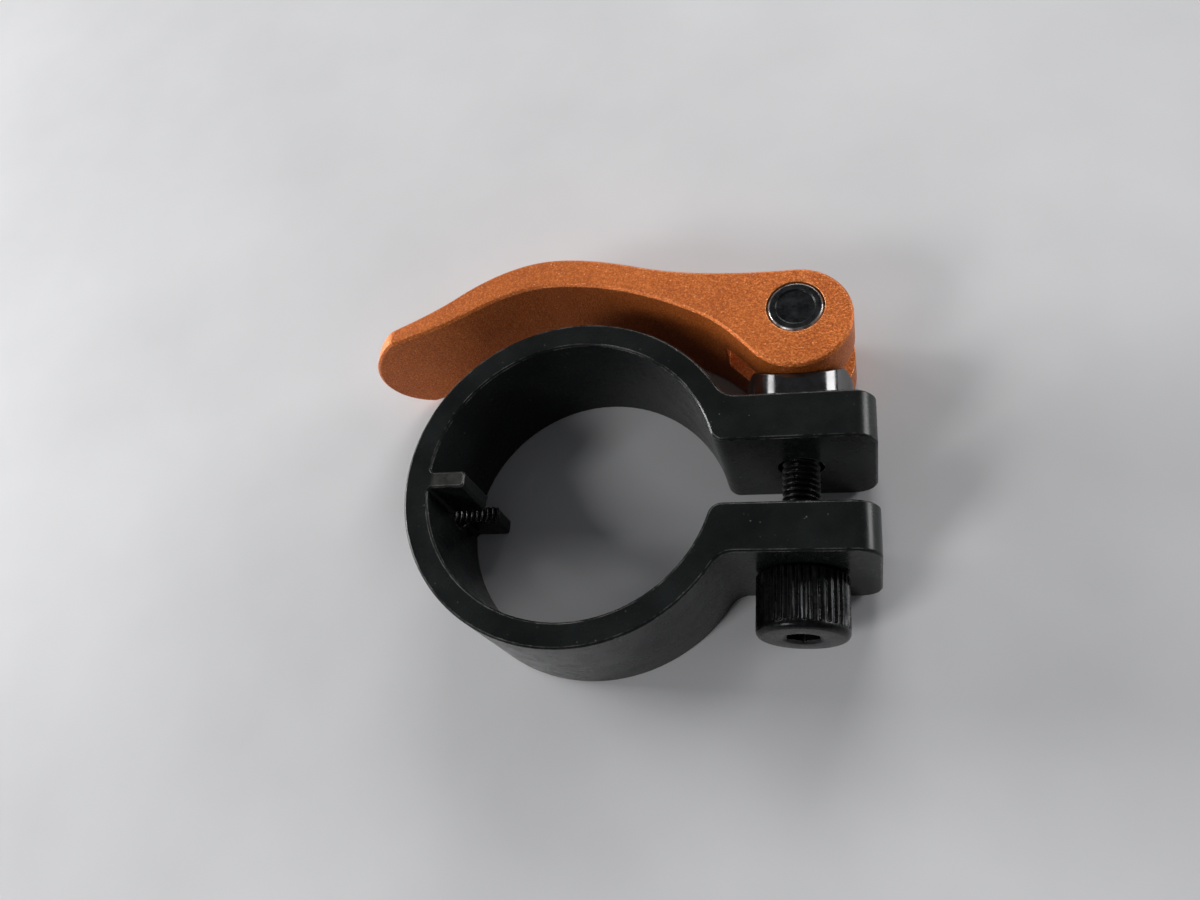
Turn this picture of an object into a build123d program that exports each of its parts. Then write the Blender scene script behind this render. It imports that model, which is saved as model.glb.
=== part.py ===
from build123d import *

import math
import os

# Quick-release collar clamp with a cam lever. Sizes in millimetres.
# Frame: the bore's axis is Z, its lower face is Z = 0, the lugs point along +X
# and the lever lies on the +Y side, closed.

# ---- collar ---------------------------------------------------------------------------------
BORE_D = 38.0             # inside diameter of the ring
WALL = 3.3                # ring wall
COLLAR_H = 18.7           # height of ring and lugs
EDGE_BREAK = 0.25         # chamfer on the collar's upper and lower rims

LUG_GAP = 8.2             # slit between the lugs
LUG_T = 6.3               # thickness of each lug
LUG_REACH = 16.1          # lug length beyond the ring's outside
LUG_CORNER_R = 3.2        # rounded outer corners of the lugs, seen from the side
LUG_ROOT_R = 3.0          # fillet between ring and lug, outside
SLIT_ROOT_R = 1.8         # fillet between bore and slit
SCREW_SETBACK = 6.5       # screw axis beyond the ring's outside
LUG_HOLE_D = 6.0          # clearance hole through each lug

KEY_T = 2.2               # thickness of the key inside the bore
KEY_DEPTH = 5.0           # how far the key stands into the bore
KEY_TIP_R = 0.5           # rounding of the key's inner edges
KEY_ROOT_R = 0.6          # fillet where the key joins the bore
KEY_HOLE_D = 5.0          # radial hole through the wall, over the roots of its M5 thread
KEY_NOTCH_D = 5.4         # the same hole where it crosses the key
KEY_HOLE_Z = 7.5          # height of that hole's axis

# ---- clamp screw ----------------------------------------------------------------------------
THREAD_D = 4.9            # shank over the crests of the M5 thread
SCREW_L = 35.0            # under the head
SCREW_TIP_CHAMFER = 0.6
HEAD_D = 11.4             # over the knurl
HEAD_H = 8.0
HEAD_RIM = 0.7            # chamfer of the head's outer rim
HEAD_NECK = 0.45          # plain chamfer under the knurl
KNURL_COUNT = 36
KNURL_DEPTH = 0.3
KNURL_OPEN = 0.75         # share of the pitch that a groove takes
KNURL_END = 0.95          # smooth band left at the outer rim
SOCKET_AF = 4.0           # hexagon socket across flats
SOCKET_DEPTH = 3.0

# ---- pivot pin (barrel nut) -----------------------------------------------------------------
PIN_D = 7.5
PIN_HOLE_D = 5.0          # cross hole over the roots of its M5 thread
PIN_CHAMFER = 0.35
PIN_DISH_D = 5.4          # shallow dish in each end
PIN_DISH_DEPTH = 0.2

# ---- cam lever ------------------------------------------------------------------------------
LEVER_W = 17.4            # width of the lever along Z
CAM_R = 7.35              # round cam of the forked head
CAM_OFFSET = 1.5          # distance of the pin from the cam's centre
FORK_SLOT = 5.3           # slot for the screw
FORK_CUTTER_D = 20.0      # disc cutter that leaves the slot's round end
LEVER_EDGE = 0.3          # chamfer on the lever's upper and lower rims
BLADE_OVERHANG = 11.2     # blade tip beyond the ring's outside
BLADE_CREST = 6.2         # height of the arched inner face above the pin axis
BLADE_RISE = 8.3          # height of the outer face on its way up to the crest
BLADE_FALL = 5.9          # height of the outer face on its way down to the tip
INNER_FALL = 2.75         # height of the inner face on its way down to the tip
INNER_START = -0.15       # height of the inner face just beyond the head
CREST_T = 4.5             # blade thickness at the crest
TIP_T = 2.0               # blade thickness at the tip
TIP_DROP = 3.6            # inner face at the tip, below the pin axis
TIP_ROUND_R = 10.6        # rounded blade end, seen from the side
TIP_CORNER_R = 1.5        # where that end meets the blade's straight rims
NECK_ANGLE = 222          # where the inner face leaves the cam's circle, in degrees

# ---- cam washer -----------------------------------------------------------------------------
WASHER_D = 14.0
WASHER_T = 3.7            # thickness under the cam
WASHER_HOLE_D = 5.6
HORN_H = 5.95             # height of the two horns beside the cam
HORN_R = 1.9              # rounded shoulders of the horns

# ---- clearances -----------------------------------------------------------------------------
FACE_GAP = 0.05           # between flat faces that turn on each other
CAM_GAP = 0.2             # between cam and washer, with the clamp unloaded
PIN_PLAY = 0.05           # radial play of the pin in the lever

# ---- places that follow from the sizes above ------------------------------------------------
bore_r = BORE_D / 2
ring_r = bore_r + WALL
mid_z = COLLAR_H / 2
slit_y = LUG_GAP / 2
lug_y = slit_y + LUG_T
screw_x = ring_r + SCREW_SETBACK
cam_reach = CAM_R + CAM_OFFSET
washer_y = lug_y + FACE_GAP
seat_y = washer_y + WASHER_T
cam_y = seat_y + CAM_GAP + CAM_R
pin_y = cam_y + CAM_OFFSET
tip_x = -(ring_r + BLADE_OVERHANG)


def ring_with_lugs():
    """Plan of the collar: a ring, two parallel lugs and the slit between them."""
    lug_end = ring_r + LUG_REACH
    with BuildSketch() as plan:
        Circle(ring_r)
        with Locations((lug_end / 2, 0)):
            Rectangle(lug_end, 2 * lug_y)
        roots = plan.vertices().filter_by(
            lambda v: abs(abs(v.Y) - lug_y) < 0.01 and v.X < lug_end - 1
        )
        fillet(roots, LUG_ROOT_R)
        Circle(bore_r, mode=Mode.SUBTRACT)
        with Locations(((lug_end + bore_r / 2) / 2 + 1, 0)):
            Rectangle(lug_end - bore_r / 2, LUG_GAP, mode=Mode.SUBTRACT)
        slit_roots = plan.vertices().filter_by(
            lambda v: abs(abs(v.Y) - slit_y) < 0.01 and v.X < ring_r
        )
        fillet(slit_roots, SLIT_ROOT_R)
    return plan.sketch


def key_plan():
    """Plan of the key that stands into the bore opposite the slit."""
    outer = -(bore_r + WALL / 2)
    tip = -(bore_r - KEY_DEPTH)
    with BuildSketch() as plan:
        with Locations(((outer + tip) / 2, 0)):
            Rectangle(tip - outer, KEY_T)
        fillet(plan.vertices().group_by(Axis.X)[-1], KEY_TIP_R)
    return plan.sketch


def make_collar():
    """Split ring with clamping lugs, inner key and a radial tapped hole, in one piece."""
    plan = ring_with_lugs() + key_plan()
    root_x = -math.sqrt(bore_r**2 - (KEY_T / 2) ** 2)
    key_roots = plan.vertices().filter_by(
        lambda v: abs(v.X - root_x) < 0.05 and abs(abs(v.Y) - KEY_T / 2) < 0.05
    )
    plan = fillet(key_roots, KEY_ROOT_R)
    collar = extrude(plan, COLLAR_H)

    lug_ends = collar.faces().sort_by(Axis.X)[-2:].edges().filter_by(Axis.Y)
    collar = fillet(lug_ends, LUG_CORNER_R)
    rims = collar.edges().filter_by(
        lambda e: min(abs(e.center().Z), abs(e.center().Z - COLLAR_H)) < 0.01
    )
    collar = chamfer(rims, EDGE_BREAK)

    lug_hole = Plane.XZ * Pos(screw_x, mid_z) * Cylinder(LUG_HOLE_D / 2, 4 * lug_y)
    wall_hole = Plane.YZ * Pos(0, KEY_HOLE_Z, -bore_r) * Cylinder(
        KEY_HOLE_D / 2, 2 * WALL, align=(Align.CENTER, Align.CENTER, Align.MAX)
    )
    key_notch = Plane.YZ * Pos(0, KEY_HOLE_Z, -bore_r) * Cylinder(
        KEY_NOTCH_D / 2, 2 * KEY_DEPTH, align=(Align.CENTER, Align.CENTER, Align.MIN)
    )
    return collar - lug_hole - wall_hole - key_notch


def knurl_groove():
    """One V groove of the straight knurl, along the head at the top of its circle."""
    half = KNURL_OPEN * math.pi * HEAD_D / KNURL_COUNT / 2
    rim = HEAD_D / 2
    with BuildSketch() as section:
        with BuildLine():
            Polyline(
                (rim - KNURL_DEPTH, 0), (rim + 0.2, half), (rim + 0.2, -half), close=True
            )
        make_face()
    return extrude(section.sketch, HEAD_H - HEAD_NECK - KNURL_END)


def make_clamp_screw():
    """Socket head screw with a tall knurled head, pointing along +Y."""
    tip = Cylinder(THREAD_D / 2, SCREW_L, align=(Align.CENTER, Align.CENTER, Align.MIN))
    tip = chamfer(tip.edges().group_by(Axis.Z)[-1], SCREW_TIP_CHAMFER)
    head = Cylinder(HEAD_D / 2, HEAD_H, align=(Align.CENTER, Align.CENTER, Align.MAX))
    head = chamfer(head.edges().group_by(Axis.Z)[-1], HEAD_NECK)
    head = chamfer(head.edges().group_by(Axis.Z)[0], HEAD_RIM)
    groove = Pos(0, 0, -(HEAD_H - KNURL_END)) * knurl_groove()
    grooves = [Rot(0, 0, 360 * i / KNURL_COUNT) * groove for i in range(KNURL_COUNT)]
    head = head - grooves
    hexagon = RegularPolygon(SOCKET_AF / 2, 6, major_radius=False)
    socket = Pos(0, 0, -HEAD_H) * extrude(hexagon, SOCKET_DEPTH)
    screw = tip + (head - socket)
    seat = Plane(origin=(screw_x, -lug_y - FACE_GAP, mid_z), x_dir=(1, 0, 0), z_dir=(0, 1, 0))
    return seat * screw


def make_pivot_pin():
    """Round barrel nut: the lever's pivot, cross-drilled for the screw."""
    pin = Cylinder(PIN_D / 2, LEVER_W)
    pin = chamfer(pin.edges().filter_by(GeomType.CIRCLE), PIN_CHAMFER)
    dish = Cone(PIN_DISH_D / 2 - PIN_DISH_DEPTH, PIN_DISH_D / 2, 2 * PIN_DISH_DEPTH)
    upper = Pos(0, 0, LEVER_W / 2) * dish
    lower = Pos(0, 0, -LEVER_W / 2) * Rot(180, 0, 0) * dish
    cross_hole = Cylinder(PIN_HOLE_D / 2, 2 * PIN_D, rotation=(90, 0, 0))
    return Pos(screw_x, pin_y, mid_z) * (pin - upper - lower - cross_hole)


def lever_plan():
    """Plan of the lever: round cam at the pin, arched blade that thins to its tip."""
    cam = Vector(screw_x, cam_y)
    reach = screw_x - tip_x
    neck_angle = math.radians(NECK_ANGLE)
    neck = cam + Vector(math.cos(neck_angle), math.sin(neck_angle)) * CAM_R
    bottom = cam - Vector(0, CAM_R)
    right = cam + Vector(CAM_R, 0)
    top = cam + Vector(0, CAM_R)
    crest_y = pin_y + BLADE_CREST
    tip_y = pin_y - TIP_DROP

    def along(share, y):
        return Vector(screw_x - share * reach, y)

    with BuildSketch() as plan:
        with BuildLine():
            ThreePointArc(neck, bottom, right)
            ThreePointArc(right, cam + Vector(CAM_R, CAM_R) / math.sqrt(2), top)
            outer_tip = along(1.02, tip_y + TIP_T)
            Spline(
                top,
                along(0.34, pin_y + BLADE_RISE),
                along(0.55, crest_y + CREST_T),
                along(0.77, pin_y + BLADE_FALL),
                outer_tip,
                tangents=[(-1, 0), (-0.96, 0.29), (-1, 0), (-0.83, -0.56), (-0.93, -0.37)],
            )
            inner_tip = along(1.02, tip_y)
            Line(outer_tip, inner_tip)
            Spline(
                inner_tip,
                along(0.737, pin_y + INNER_FALL),
                along(0.55, crest_y),
                along(0.2, pin_y + INNER_START),
                neck,
                tangents=[(0.96, 0.28), (0.89, 0.46), (1, 0), (0.87, -0.49), (0.669, -0.743)],
            )
        make_face()
    return plan.sketch


def make_cam_lever():
    """Extruded lever with a rounded blade end and a forked cam head."""
    body = Pos(0, 0, -LEVER_W / 2) * extrude(lever_plan(), LEVER_W)

    sagitta = TIP_ROUND_R - math.sqrt(TIP_ROUND_R**2 - (LEVER_W / 2) ** 2)
    side_right = screw_x + 2 * CAM_R
    with BuildSketch(Plane.XZ) as side:
        with BuildLine():
            ThreePointArc(
                (tip_x + sagitta, LEVER_W / 2), (tip_x, 0), (tip_x + sagitta, -LEVER_W / 2)
            )
            Polyline(
                (tip_x + sagitta, -LEVER_W / 2),
                (side_right, -LEVER_W / 2),
                (side_right, LEVER_W / 2),
                (tip_x + sagitta, LEVER_W / 2),
            )
        make_face()
        fillet(side.vertices().group_by(Axis.X)[0], TIP_CORNER_R)
    body = body & extrude(side.sketch, 3 * pin_y, both=True)
    rims = body.edges().filter_by(lambda e: abs(abs(e.center().Z) - LEVER_W / 2) < 0.01)
    body = chamfer(rims, LEVER_EDGE)

    at_pin = Pos(screw_x, pin_y)
    slot = at_pin * Cylinder(FORK_CUTTER_D / 2, FORK_SLOT)
    pin_hole = at_pin * Cylinder(PIN_D / 2 + PIN_PLAY, 2 * LEVER_W)
    return Pos(0, 0, mid_z) * (body - slot - pin_hole)


def make_cam_washer():
    """Round washer with a hollow seat for the cam between two horns."""
    seat_r = cam_reach + CAM_GAP
    with BuildSketch() as profile:
        Rectangle(WASHER_D, HORN_H, align=(Align.CENTER, Align.MIN))
        fillet(profile.vertices().group_by(Axis.Y)[-1], HORN_R)
        with Locations((0, pin_y - washer_y)):
            Circle(seat_r, mode=Mode.SUBTRACT)
    blank = extrude(profile.sketch, WASHER_D, both=True)
    disc = Cylinder(WASHER_D / 2, 4 * HORN_H, rotation=(90, 0, 0))
    hole = Cylinder(WASHER_HOLE_D / 2, 4 * HORN_H, rotation=(90, 0, 0))
    return Pos(screw_x, washer_y, mid_z) * ((blank & disc) - hole)


def main():
    os.makedirs("parts", exist_ok=True)
    pieces = {
        "collar": make_collar(),
        "clamp_screw": make_clamp_screw(),
        "pivot_pin": make_pivot_pin(),
        "cam_lever": make_cam_lever(),
        "cam_washer": make_cam_washer(),
    }
    for name, piece in pieces.items():
        export_step(piece, f"parts/{name}.step")


main()
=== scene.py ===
"""Looks of the cam lever clamp: materials on the CAD pieces, a threaded screw and thread ridges."""

import math

import bpy
from mathutils import Matrix, Vector


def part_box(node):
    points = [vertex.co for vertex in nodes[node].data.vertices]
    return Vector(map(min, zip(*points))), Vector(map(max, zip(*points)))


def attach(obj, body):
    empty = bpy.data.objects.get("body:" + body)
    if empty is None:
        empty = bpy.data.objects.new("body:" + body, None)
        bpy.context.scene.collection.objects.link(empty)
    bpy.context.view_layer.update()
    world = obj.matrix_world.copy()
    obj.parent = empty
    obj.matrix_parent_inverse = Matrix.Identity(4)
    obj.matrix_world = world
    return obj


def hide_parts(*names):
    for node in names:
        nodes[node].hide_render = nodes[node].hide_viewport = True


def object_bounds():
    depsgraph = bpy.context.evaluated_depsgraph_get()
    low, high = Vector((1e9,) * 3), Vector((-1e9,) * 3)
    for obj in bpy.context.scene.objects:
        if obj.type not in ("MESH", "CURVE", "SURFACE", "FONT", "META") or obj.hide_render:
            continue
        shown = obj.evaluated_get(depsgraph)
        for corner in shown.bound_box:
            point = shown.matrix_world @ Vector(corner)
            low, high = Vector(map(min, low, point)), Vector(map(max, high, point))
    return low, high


MM = 0.001
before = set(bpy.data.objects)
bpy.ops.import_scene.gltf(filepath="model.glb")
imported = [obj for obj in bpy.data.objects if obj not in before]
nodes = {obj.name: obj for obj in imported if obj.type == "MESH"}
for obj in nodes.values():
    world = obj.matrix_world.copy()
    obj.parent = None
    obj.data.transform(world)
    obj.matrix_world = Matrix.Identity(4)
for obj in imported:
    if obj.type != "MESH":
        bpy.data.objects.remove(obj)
cad_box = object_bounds()

# ---- threads, in millimetres ----------------------------------------------------------------
PITCH = 0.8               # of both M5 threads
ROOT_FLAT = 0.14          # flat at a thread's root, as a share of half a pitch
FLANK = 0.70              # width of a thread's flank, as the same share
THREAD_SIDES = 48
ROWS_PER_PITCH = 8
ROOT_R = 1.96             # thread root of the screw
CREST_R = 2.45
TIP_CHAMFER = 0.6

# ---- screw head, in millimetres -------------------------------------------------------------
HEAD_H = 8.0
HEAD_ROUND = 0.8          # rounding of the outer rim
HEAD_ROUND_STEPS = 8
SEAT_R = 2.5              # inner edge of the seat, just outside the thread
SEAT_INSET = 0.55         # from the head's outline in to the flat of the seat
KNURL_COUNT = 36
KNURL_SIDES = 8           # points round the head for each knurl ridge
KNURL_DEPTH = 0.3
KNURL_VALLEY = 0.36       # half the width of a groove, as a share of their spacing
KNURL_START = 0.5         # from the seat to the full depth
KNURL_END = 0.95          # smooth band at the outer rim
KNURL_FADE = 0.25         # length over which the grooves run out
SOCKET_AF = 4.0
SOCKET_DEPTH = 3.0
SOCKET_MOUTH = 0.32       # depth of the round mouth before the hexagon
SOCKET_FLOOR_R = 1.75
SOCKET_RUNOUT = 0.3       # from the hexagon's end to the floor
SOCKET_POINT_R = 0.15     # end of the drilled point
SOCKET_POINT = 0.5        # its depth below the floor

# ---- radial hole and key of the collar, in millimetres --------------------------------------
BORE_R = 19.0
KEY_HALF_T = 1.1
KEY_TIP_X = -14.0
KEY_TOP_Z = 18.7
KEY_HOLE_Z = 7.5
HOLE_ROOT_R = 2.5         # thread roots in the ring's wall
HOLE_CREST_R = 2.1
NOTCH_R = 2.7             # the hole where it crosses the key
RIDGE_BACK = 0.06         # how far the ridges reach into the collar's metal
WALL_RIDGE_INSET = 0.35   # from the ring's outer wall to the first ridge
WALL_RIDGE_END = -18.9
KEY_RIDGE_START = -18.95
KEY_RIDGE_END = KEY_TIP_X - 0.12
KEY_RIDGE_GAP = 0.03      # from the ridges' ends to the key's sides
KEY_ROWS_PER_PITCH = 12
KEY_COLUMNS = 13          # points across the key

# ---- colours, linear ------------------------------------------------------------------------
COAT_DARK = (0.0048, 0.0057, 0.0057)
COAT_LIGHT = (0.0112, 0.0132, 0.0130)
COAT_DUST = (0.06, 0.062, 0.06)
COAT_SPECK = (0.16, 0.16, 0.15)
COAT_RUBBED = (0.045, 0.044, 0.040)
COAT_WORN = (0.42, 0.41, 0.38)
ORANGE_DARK = (0.49, 0.112, 0.014)
ORANGE_LIGHT = (0.58, 0.142, 0.020)
ORANGE_PEAK = (0.88, 0.29, 0.07)
ORANGE_PIT = (0.26, 0.048, 0.005)
ORANGE_FLAKE = (1.0, 0.56, 0.26)
ORANGE_PAINTED_EDGE_HIGHLIGHT = (1.0, 0.50, 0.20)
WASHER_DARK = (0.008, 0.008, 0.009)
WASHER_LIGHT = (0.022, 0.022, 0.024)
PIN_DARK = (0.010, 0.011, 0.012)
PIN_LIGHT = (0.028, 0.029, 0.030)
PIN_SCRATCH = (0.17, 0.14, 0.11)
PIN_RIM_HIGHLIGHT_AND_WEAR = (0.42, 0.41, 0.40)
PIN_EDGE = (0.30, 0.30, 0.30)
SCREW_DARK = (0.006, 0.006, 0.007)
SCREW_LIGHT = (0.026, 0.027, 0.028)
SCREW_PAINTED_HIGHLIGHT = (0.22, 0.22, 0.22)
FLOOR_DARK = (0.60, 0.60, 0.61)
FLOOR_LIGHT = (0.66, 0.66, 0.67)
ROOM_LIGHT = (0.93, 0.95, 1.0)
ROOM_WALL = (0.50, 0.50, 0.51)

# ---- stage ----------------------------------------------------------------------------------
FLOOR_HALF = 1500         # millimetres
FLOOR_GAP = 0.02          # millimetres below the clamp
ROOM_STRENGTH = 0.12
LIGHTS = (                # name, azimuth, elevation, distance and size in metres, watts
    ("window_left", 280, 10, 0.9, 0.3, 9.5),
    ("window_far_left", 297, 25, 0.9, 0.22, 1.6),
    ("window_near", 225, 39, 0.9, 0.22, 2.6),
    ("room_back", 8, 30, 1.1, 0.5, 5.0),
    ("strip_right", 66, 16, 0.8, 0.25, 2.6),
)
CAMERA_AZIMUTH = -32.33   # degrees, of the way that it looks: 0 is +Y and 90 is +X
CAMERA_ELEVATION = 61.31  # degrees above the floor, looking down
CAMERA_ROLL = -31.21      # degrees
CAMERA_PLACE = (36.36, -47.44, 128.55)
CAMERA_LENS = 29.46
CAMERA_SENSOR = 36

# ---- sockets and thresholds of the material nodes -------------------------------------------
MIX_A, MIX_B, MIX_RESULT = 6, 7, 2    # colour sockets of a Mix node
EDGE_STARTS = 0.995       # cosine of the bent normal where an edge begins
EDGE_FULL = 0.86


# ---- small helpers --------------------------------------------------------------------------
def lowest(node):
    return Vector(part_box(node)[0]) / MM


def highest(node):
    return Vector(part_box(node)[1]) / MM


def centre(node):
    return (lowest(node) + highest(node)) / 2


def add_mesh(name, points, faces, material, smooth_angle=30):
    mesh = bpy.data.meshes.new(name)
    mesh.from_pydata([[c * MM for c in p] for p in points], [], faces)
    mesh.validate()
    obj = bpy.data.objects.new(name, mesh)
    bpy.context.collection.objects.link(obj)
    mesh.materials.append(material)
    mesh.shade_smooth()
    mesh.set_sharp_from_angle(angle=math.radians(smooth_angle))
    return obj


def join_rings(rings):
    """Points and faces of a closed tube through rings of equal length, with both ends filled."""
    count = len(rings[0])
    points = [p for ring in rings for p in ring]
    faces = []
    for row in range(len(rings) - 1):
        for i in range(count):
            j = (i + 1) % count
            a = row * count
            b = a + count
            faces.append((a + i, a + j, b + j, b + i))
    faces.append(tuple(reversed(range(count))))
    faces.append(tuple(range(len(points) - count, len(points))))
    return points, faces


def thread_height(turns):
    """Share of the thread's depth, 0 at the root and 1 at the crest, along one pitch."""
    place = abs((turns % 1.0) - 0.5) * 2
    return min(1.0, max(0.0, (place - ROOT_FLAT) / FLANK))


# ---- material nodes -------------------------------------------------------------------------
class Shader:
    """A principled material with short calls for the nodes that these looks need."""

    def __init__(self, name):
        self.material = bpy.data.materials.new(name)
        self.material.use_nodes = True
        self.tree = self.material.node_tree
        self.bsdf = self.tree.nodes["Principled BSDF"]
        self.coords = self.add("ShaderNodeTexCoord").outputs["Object"]

    def add(self, kind, **settings):
        node = self.tree.nodes.new(kind)
        for key, value in settings.items():
            setattr(node, key, value)
        return node

    def link(self, source, target):
        self.tree.links.new(source, target)

    def set(self, name, value):
        self.bsdf.inputs[name].default_value = value

    def feed(self, name, source):
        self.link(source, self.bsdf.inputs[name])

    def streaks(self, factor):
        """Coordinates scaled along Y, which draw a noise out into streaks across Y."""
        mapping = self.add("ShaderNodeMapping")
        mapping.inputs["Scale"].default_value = (1.0, factor, 1.0)
        self.link(self.coords, mapping.inputs["Vector"])
        return mapping.outputs["Vector"]

    def noise(self, size_mm, detail=4.0, roughness=0.55, vector=None):
        """Noise whose blotches are about size_mm across, from 0 to 1."""
        node = self.add("ShaderNodeTexNoise")
        node.inputs["Scale"].default_value = 1 / (size_mm * MM)
        node.inputs["Detail"].default_value = detail
        node.inputs["Roughness"].default_value = roughness
        self.link(vector or self.coords, node.inputs["Vector"])
        return node.outputs["Fac"]

    def cells(self, size_mm):
        """One random value for each cell of about size_mm, from 0 to 1."""
        node = self.add("ShaderNodeTexVoronoi")
        node.inputs["Scale"].default_value = 1 / (size_mm * MM)
        self.link(self.coords, node.inputs["Vector"])
        return self.remap(node.outputs["Color"], 0.0, 1.0)

    def remap(self, value, low, high, to_low=0.0, to_high=1.0):
        node = self.add("ShaderNodeMapRange")
        node.inputs["From Min"].default_value = low
        node.inputs["From Max"].default_value = high
        node.inputs["To Min"].default_value = to_low
        node.inputs["To Max"].default_value = to_high
        self.link(value, node.inputs["Value"])
        return node.outputs["Result"]

    def math(self, kind, a, b=0.0):
        node = self.add("ShaderNodeMath", operation=kind)
        for slot, value in enumerate((a, b)):
            if isinstance(value, (int, float)):
                node.inputs[slot].default_value = value
            else:
                self.link(value, node.inputs[slot])
        return node.outputs[0]

    def mix(self, factor, a, b):
        """Colour a where factor is 0 and colour b where it is 1."""
        node = self.add("ShaderNodeMix", data_type="RGBA")
        self.link(factor, node.inputs["Factor"])
        for slot, value in ((MIX_A, a), (MIX_B, b)):
            if isinstance(value, tuple):
                node.inputs[slot].default_value = (*value, 1)
            else:
                self.link(value, node.inputs[slot])
        return node.outputs[MIX_RESULT]

    def soft_edges(self, radius_mm):
        """A normal that rounds the edges, and a mask that is 1 on them."""
        bevel = self.add("ShaderNodeBevel", samples=8)
        bevel.inputs["Radius"].default_value = radius_mm * MM
        normal = self.add("ShaderNodeNewGeometry").outputs["Normal"]
        dot = self.add("ShaderNodeVectorMath", operation="DOT_PRODUCT")
        self.link(bevel.outputs["Normal"], dot.inputs[0])
        self.link(normal, dot.inputs[1])
        return bevel.outputs["Normal"], self.remap(dot.outputs["Value"], EDGE_STARTS, EDGE_FULL)

    def place(self, axis):
        """The X, Y or Z of the surface, in millimetres."""
        split = self.add("ShaderNodeSeparateXYZ")
        self.link(self.coords, split.inputs[0])
        return self.math("MULTIPLY", split.outputs[axis], 1 / MM)

    def away_from(self, axis, middle):
        """Distance in millimetres from the line through middle along the named axis."""
        squares = []
        for name in "XYZ".replace(axis, ""):
            step = self.math("SUBTRACT", self.place(name), getattr(middle, name.lower()))
            squares.append(self.math("MULTIPLY", step, step))
        return self.math("SQRT", self.math("ADD", *squares))

    def bump(self, height, depth_mm, strength, normal):
        node = self.add("ShaderNodeBump")
        node.inputs["Strength"].default_value = strength
        node.inputs["Distance"].default_value = depth_mm * MM
        self.link(height, node.inputs["Height"])
        self.link(normal, node.inputs["Normal"])
        return node.outputs["Normal"]


def on_key_top(s):
    """Mask of the key's upper face, inside the bore."""
    across = s.remap(s.math("ABSOLUTE", s.place("Y")), KEY_HALF_T + 0.15, KEY_HALF_T - 0.1)
    past_wall = s.remap(s.place("X"), 0.2 - BORE_R, 0.8 - BORE_R)
    before_tip = s.remap(s.place("X"), KEY_TIP_X + 0.2, KEY_TIP_X - 0.2)
    upper = s.remap(s.place("Z"), KEY_TOP_Z - 0.4, KEY_TOP_Z - 0.1)
    outline = s.math("MULTIPLY", s.math("MULTIPLY", across, past_wall), before_tip)
    return s.math("MULTIPLY", outline, upper)


def black_collar():
    """Black satin coat with dust, faint scratches and worn bright edges."""
    s = Shader("collar_black")
    rounded, edge = s.soft_edges(0.22)
    cloud = s.noise(9, detail=5)
    grain = s.noise(0.16, detail=2)
    scratch = s.noise(1.1, detail=3, vector=s.streaks(14.0))
    base = s.mix(s.remap(cloud, 0.35, 0.7), COAT_DARK, COAT_LIGHT)
    dust = s.math("MULTIPLY", s.remap(scratch, 0.62, 0.74), s.remap(cloud, 0.45, 0.6))
    base = s.mix(s.math("MULTIPLY", dust, 0.35), base, COAT_DUST)
    specks = s.remap(s.noise(0.5, detail=1), 0.765, 0.79)
    base = s.mix(s.math("MULTIPLY", specks, 0.5), base, COAT_SPECK)
    patches = s.remap(s.noise(0.7, detail=5), 0.3, 0.7, 0.3, 0.9)
    base = s.mix(s.math("MULTIPLY", on_key_top(s), patches), base, COAT_RUBBED)
    wear = s.remap(s.noise(2.2, detail=6, roughness=0.7), 0.44, 0.60)
    worn = s.math("MULTIPLY", edge, wear)
    base = s.mix(s.math("MULTIPLY", worn, 0.8), base, COAT_WORN)
    s.feed("Base Color", base)
    s.feed("Roughness", s.remap(s.noise(3.0, detail=6, roughness=0.65), 0.3, 0.7, 0.20, 0.33))
    s.set("Specular IOR Level", 0.2)
    s.feed("Normal", s.bump(grain, 0.012, 0.5, rounded))
    return s.material


def orange_lever():
    """Bead-blasted orange metallic with a fine glitter grain and a painted highlight along its
    edges.
    """
    s = Shader("lever_orange")
    rounded, edge = s.soft_edges(0.3)
    flake = s.cells(0.17)
    cloud = s.remap(s.noise(7, detail=4), 0.35, 0.7)
    base = s.mix(cloud, ORANGE_DARK, ORANGE_LIGHT)
    grain = s.noise(0.26, detail=2)
    base = s.mix(s.remap(grain, 0.5, 0.68, 0.0, 0.5), base, ORANGE_PEAK)
    base = s.mix(s.remap(grain, 0.5, 0.32, 0.0, 0.5), base, ORANGE_PIT)
    base = s.mix(s.remap(flake, 0.88, 1.0, 0.0, 0.9), base, ORANGE_FLAKE)
    # painted highlight: the lever's edges are lightened towards bright orange, as if catching the
    # light
    painted_edge_highlight = s.math("MULTIPLY", edge, s.remap(grain, 0.42, 0.62, 0.15, 0.95))
    base = s.mix(painted_edge_highlight, base, ORANGE_PAINTED_EDGE_HIGHLIGHT)
    s.feed("Base Color", base)
    s.set("Metallic", 0.55)
    s.feed("Roughness", s.remap(flake, 0.0, 1.0, 0.36, 0.55))
    pits = s.math("ADD", grain, s.math("MULTIPLY", flake, 0.4))
    s.feed("Normal", s.bump(pits, 0.1, 1.0, rounded))
    return s.material


def black_washer():
    """Polished black with a thin haze."""
    s = Shader("washer_black")
    rounded = s.soft_edges(0.25)[0]
    haze = s.noise(1.5, detail=6, roughness=0.7)
    s.feed("Base Color", s.mix(s.remap(haze, 0.4, 0.7), WASHER_DARK, WASHER_LIGHT))
    s.feed("Roughness", s.remap(haze, 0.3, 0.75, 0.07, 0.2))
    s.set("Specular IOR Level", 0.75)
    s.feed("Normal", s.bump(haze, 0.01, 0.25, rounded))
    return s.material


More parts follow.
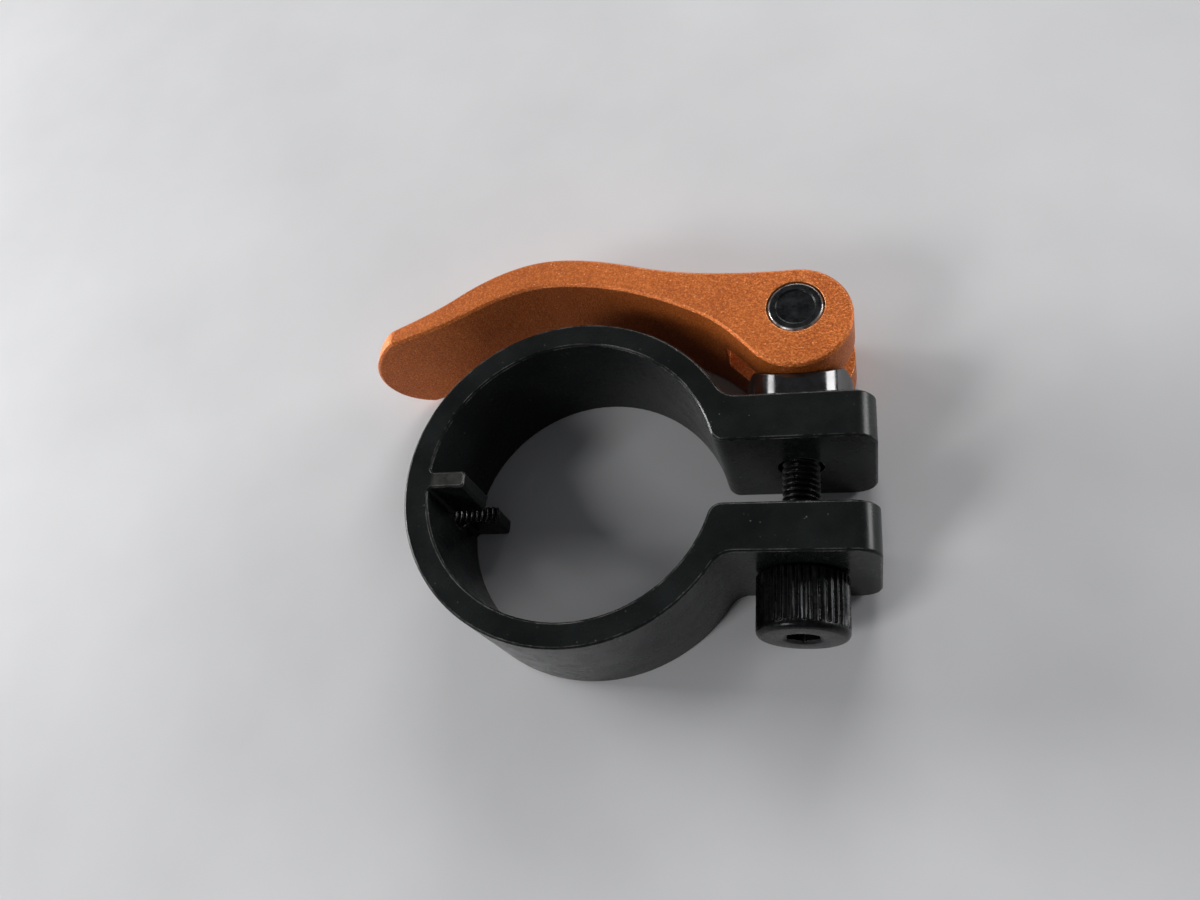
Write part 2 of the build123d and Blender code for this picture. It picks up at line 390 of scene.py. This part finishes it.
def pin_steel():
    """Black oxide with small scratches, a bright rim painted on as highlight and wear, and slightly
    worn edges.
    """
    s = Shader("pin_steel")
    rounded, edge = s.soft_edges(0.12)
    haze = s.noise(1.4, detail=6, roughness=0.7)
    scratch = s.noise(0.5, detail=2, vector=s.streaks(9.0))
    base = s.mix(s.remap(haze, 0.4, 0.75), PIN_DARK, PIN_LIGHT)
    base = s.mix(s.remap(scratch, 0.74, 0.80, 0.0, 0.6), base, PIN_SCRATCH)
    # painted highlight and wear: a patchy bright ring on the chamfer at the pin's rim
    rim = s.remap(s.away_from("Z", centre("pivot_pin")), 3.28, 3.42)
    rim = s.math("MULTIPLY", rim, s.remap(s.noise(1.6, detail=3), 0.38, 0.55, 0.25, 0.9))
    base = s.mix(rim, base, PIN_RIM_HIGHLIGHT_AND_WEAR)
    base = s.mix(s.math("MULTIPLY", edge, 0.12), base, PIN_EDGE)
    s.feed("Base Color", base)
    s.set("Metallic", 0.75)
    s.feed("Roughness", s.remap(haze, 0.3, 0.75, 0.2, 0.42))
    s.feed("Normal", s.bump(haze, 0.015, 0.35, rounded))
    return s.material


def screw_steel(name, edge_mm):
    """Black oxide steel, slightly oily, with a painted highlight on its ridges and edges."""
    s = Shader(name)
    rounded, edge = s.soft_edges(edge_mm)
    haze = s.noise(0.9, detail=6, roughness=0.7)
    base = s.mix(s.remap(haze, 0.35, 0.75), SCREW_DARK, SCREW_LIGHT)
    # painted highlight: thread crests and edges are lightened towards grey
    base = s.mix(s.math("MULTIPLY", edge, 0.55), base, SCREW_PAINTED_HIGHLIGHT)
    s.feed("Base Color", base)
    s.set("Metallic", 0.8)
    s.feed("Roughness", s.remap(haze, 0.3, 0.75, 0.2, 0.4))
    s.feed("Normal", s.bump(haze, 0.01, 0.4, rounded))
    return s.material


def dress(node, material):
    """The CAD piece keeps its shape and takes this material in every slot."""
    mesh = nodes[node].data
    if not mesh.materials:
        mesh.materials.append(material)
    for i in range(len(mesh.materials)):
        mesh.materials[i] = material


# ---- clamp screw ----------------------------------------------------------------------------
def ring_y(radius, y, sides, middle):
    """A ring round the screw's axis. radius is a number or a function of the angle."""
    points = []
    for i in range(sides):
        angle = 2 * math.pi * i / sides
        r = radius(angle) if callable(radius) else radius
        points.append((middle.x + r * math.cos(angle), y, middle.z + r * math.sin(angle)))
    return points


def make_thread(material):
    """Shank of the screw with its helical M5 thread, from the head's seat to the tip."""
    middle = centre("clamp_screw")
    start = lowest("clamp_screw").y + HEAD_H
    end = highest("clamp_screw").y
    count = round((end - start) / PITCH * ROWS_PER_PITCH)
    rings = []
    for row in range(count + 1):
        y = start + (end - start) * row / count
        limit = CREST_R - max(0.0, y - (end - TIP_CHAMFER))

        def radius(angle, y=y, limit=limit):
            height = thread_height((y - start) / PITCH - angle / (2 * math.pi))
            return min(limit, ROOT_R + (CREST_R - ROOT_R) * height)

        rings.append(ring_y(radius, y, THREAD_SIDES, middle))
    points, faces = join_rings(rings)
    return add_mesh("clamp_screw_thread", points, faces, material, 50)


def hexagon(angle):
    """Distance from the socket's axis to its six-sided wall."""
    turn = (angle + math.pi / 6) % (math.pi / 3) - math.pi / 6
    return SOCKET_AF / 2 / math.cos(turn)


def make_head(material):
    """Tall knurled head with a hexagon socket, same outline as the CAD screw."""
    middle = centre("clamp_screw")
    outer = lowest("clamp_screw").y
    seat = outer + HEAD_H
    rim_r = (highest("clamp_screw").x - lowest("clamp_screw").x) / 2
    sides = KNURL_COUNT * KNURL_SIDES
    rings = []

    def knurled(depth, inset=0.0):
        def radius(angle):
            place = (angle * KNURL_COUNT / (2 * math.pi)) % 1.0
            valley = max(0.0, 1 - abs(place - 0.5) / KNURL_VALLEY)
            return rim_r - inset - depth * valley**0.9
        return radius

    def add(radius, y):
        rings.append(ring_y(radius, y, sides, middle))

    # the seat, and the rounded edge beside it: groove depth, inset and distance from the seat
    add(SEAT_R, seat)
    add(rim_r - SEAT_INSET, seat)
    for depth, inset, drop in ((0.1, 0.42, 0.06), (0.22, 0.16, 0.3)):
        add(knurled(depth, inset), seat - drop)

    # the knurl at its full depth, and where it runs out
    full_from = seat - KNURL_START
    knurl_end = outer + KNURL_END
    full_to = knurl_end + KNURL_FADE
    for share in (0.0, 0.25, 0.5, 0.75, 1.0):
        add(knurled(KNURL_DEPTH), full_from + (full_to - full_from) * share)
    add(knurled(KNURL_DEPTH * 0.45), knurl_end + 0.08)
    add(rim_r, knurl_end)

    # the smooth rounded rim
    for step in range(HEAD_ROUND_STEPS + 1):
        angle = math.pi / 2 * step / HEAD_ROUND_STEPS
        inset = HEAD_ROUND * (1 - math.cos(angle))
        add(rim_r - inset, outer + HEAD_ROUND - HEAD_ROUND * math.sin(angle))

    # the socket: its round mouth as radius beyond the corners and depth, then hexagon and floor
    mouth = SOCKET_AF / 2 / math.cos(math.pi / 6) + 0.12
    for grow, depth in ((0.35, 0.0), (0.1, 0.03), (-0.05, 0.14)):
        add(mouth + grow, outer + depth)
    add(hexagon, outer + SOCKET_MOUTH)
    add(hexagon, outer + SOCKET_DEPTH - SOCKET_RUNOUT)
    add(SOCKET_FLOOR_R, outer + SOCKET_DEPTH)
    add(SOCKET_POINT_R, outer + SOCKET_DEPTH + SOCKET_POINT)
    points, faces = join_rings(rings)
    return add_mesh("clamp_screw_head", points, faces, material, 35)


# ---- thread ridges in the collar's radial hole ----------------------------------------------
def hole_radius(x, angle):
    """Thread surface in the radial hole: small at the crests, large at the roots."""
    height = thread_height(x / PITCH - angle / (2 * math.pi))
    return HOLE_ROOT_R - (HOLE_ROOT_R - HOLE_CREST_R) * height


def ring_x(radius, x):
    """A ring round the hole's axis. radius is a number or a function of x and the angle."""
    points = []
    for i in range(THREAD_SIDES):
        angle = 2 * math.pi * i / THREAD_SIDES
        r = radius(x, angle) if callable(radius) else radius
        points.append((x, r * math.sin(angle), KEY_HOLE_Z + r * math.cos(angle)))
    return points


def make_wall_thread(material):
    """Ridges in the part of the hole that crosses the ring's wall."""
    start = lowest("collar").x + WALL_RIDGE_INSET
    end = WALL_RIDGE_END
    count = round((end - start) / PITCH * ROWS_PER_PITCH)
    rings = [ring_x(hole_radius, start + (end - start) * row / count) for row in range(count + 1)]
    rings.append(ring_x(HOLE_ROOT_R + RIDGE_BACK, end))
    rings.append(ring_x(HOLE_ROOT_R + RIDGE_BACK, start))
    points, faces = join_rings(rings)

    # this tube is a sleeve, so its last ring meets its first in place of the two end faces
    faces = faces[:-2]
    last = len(points) - THREAD_SIDES
    for i in range(THREAD_SIDES):
        j = (i + 1) % THREAD_SIDES
        faces.append((last + i, last + j, j, i))
    return add_mesh("collar_wall_thread", points, faces, material, 40)


def make_key_thread(name, side, material):
    """Ridges in the notch that the hole leaves in the key. side is 1 above and -1 below."""
    start = KEY_RIDGE_START
    end = KEY_RIDGE_END
    count = round((end - start) / PITCH * KEY_ROWS_PER_PITCH)
    half = KEY_HALF_T - KEY_RIDGE_GAP
    back_r = NOTCH_R + RIDGE_BACK
    rings = []
    for row in range(count + 1):
        x = start + (end - start) * row / count
        front = []
        back = []
        for i in range(KEY_COLUMNS):
            y = -half + 2 * half * i / (KEY_COLUMNS - 1)
            angle = math.asin(y / HOLE_ROOT_R)
            if side < 0:
                angle = math.pi - angle
            r = hole_radius(x, angle % (2 * math.pi))
            front.append((x, y, KEY_HOLE_Z + side * math.sqrt(r * r - y * y)))
            back.append((x, y, KEY_HOLE_Z + side * math.sqrt(back_r * back_r - y * y)))
        rings.append(front + back[::-1])
    points, faces = join_rings(rings)
    return add_mesh(name, points, faces, material, 40)


# ---- build ----------------------------------------------------------------------------------
dress("collar", black_collar())
dress("cam_lever", orange_lever())
dress("cam_washer", black_washer())
dress("pivot_pin", pin_steel())

thread = make_thread(screw_steel("screw_thread_steel", 0.05))
head = make_head(screw_steel("screw_head_steel", 0.08))
for piece in (thread, head):
    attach(piece, "screw")
    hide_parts("clamp_screw")

hole_material = screw_steel("hole_thread_black", 0.06)
for piece in (
    make_wall_thread(hole_material),
    make_key_thread("collar_key_thread_upper", 1, hole_material),
    make_key_thread("collar_key_thread_lower", -1, hole_material),
):
    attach(piece, "collar")


# ---- floor, light and camera ----------------------------------------------------------------
def make_floor():
    """A large pale sheet with a barely visible mottling."""
    s = Shader("floor_pale")
    tone = s.remap(s.noise(35, detail=3), 0.3, 0.7)
    s.feed("Base Color", s.mix(tone, FLOOR_DARK, FLOOR_LIGHT))
    s.set("Roughness", 0.6)
    half = FLOOR_HALF
    corners = [(-half, -half, 0), (half, -half, 0), (half, half, 0), (-half, half, 0)]
    floor = add_mesh("floor", corners, [(0, 1, 2, 3)], s.material)
    floor.location.z = cad_box[0][2] - FLOOR_GAP * MM


def add_light(name, azimuth, elevation, distance, size, power):
    """A square soft box aimed at the clamp. Azimuth 0 is +Y and 90 is +X, in degrees."""
    az = math.radians(azimuth)
    el = math.radians(elevation)
    away = Vector((math.sin(az) * math.cos(el), math.cos(az) * math.cos(el), math.sin(el)))
    lamp = bpy.data.lights.new(name, "AREA")
    lamp.shape = "SQUARE"
    lamp.size = size
    lamp.energy = power
    obj = bpy.data.objects.new(name, lamp)
    bpy.context.collection.objects.link(obj)
    obj.location = away * distance
    obj.rotation_euler = away.to_track_quat("Z", "Y").to_euler()


def make_room():
    """Dim even light from all round, and a pale wall where the camera sees past the floor."""
    world = bpy.data.worlds.new("room")
    bpy.context.scene.world = world
    world.use_nodes = True
    tree = world.node_tree
    light = tree.nodes["Background"]
    light.inputs["Color"].default_value = (*ROOM_LIGHT, 1)
    light.inputs["Strength"].default_value = ROOM_STRENGTH
    wall = tree.nodes.new("ShaderNodeBackground")
    wall.inputs["Color"].default_value = (*ROOM_WALL, 1)
    rays = tree.nodes.new("ShaderNodeLightPath")
    mix = tree.nodes.new("ShaderNodeMixShader")
    tree.links.new(rays.outputs["Is Camera Ray"], mix.inputs["Fac"])
    tree.links.new(light.outputs["Background"], mix.inputs[1])
    tree.links.new(wall.outputs["Background"], mix.inputs[2])
    tree.links.new(mix.outputs["Shader"], tree.nodes["World Output"].inputs["Surface"])


def set_camera():
    """Camera from its azimuth, elevation, roll and place."""
    az = math.radians(CAMERA_AZIMUTH)
    el = math.radians(CAMERA_ELEVATION)
    roll = math.radians(CAMERA_ROLL)
    look = Vector((math.sin(az) * math.cos(el), math.cos(az) * math.cos(el), -math.sin(el)))
    level = Vector((math.cos(az), -math.sin(az), 0))
    upward = level.cross(look)
    right = level * math.cos(roll) + upward * math.sin(roll)
    up = upward * math.cos(roll) - level * math.sin(roll)
    turn = Matrix((right, up, -look)).transposed().to_4x4()
    camera = bpy.data.cameras.new("camera")
    camera.sensor_width = CAMERA_SENSOR
    camera.lens = CAMERA_LENS
    camera.clip_start = 0.005
    obj = bpy.data.objects.new("camera", camera)
    bpy.context.collection.objects.link(obj)
    obj.matrix_world = Matrix.Translation(Vector(CAMERA_PLACE) * MM) @ turn
    bpy.context.scene.camera = obj


make_floor()
for light in LIGHTS:
    add_light(*light)
make_room()
bpy.context.scene.view_settings.view_transform = "Standard"
set_camera()
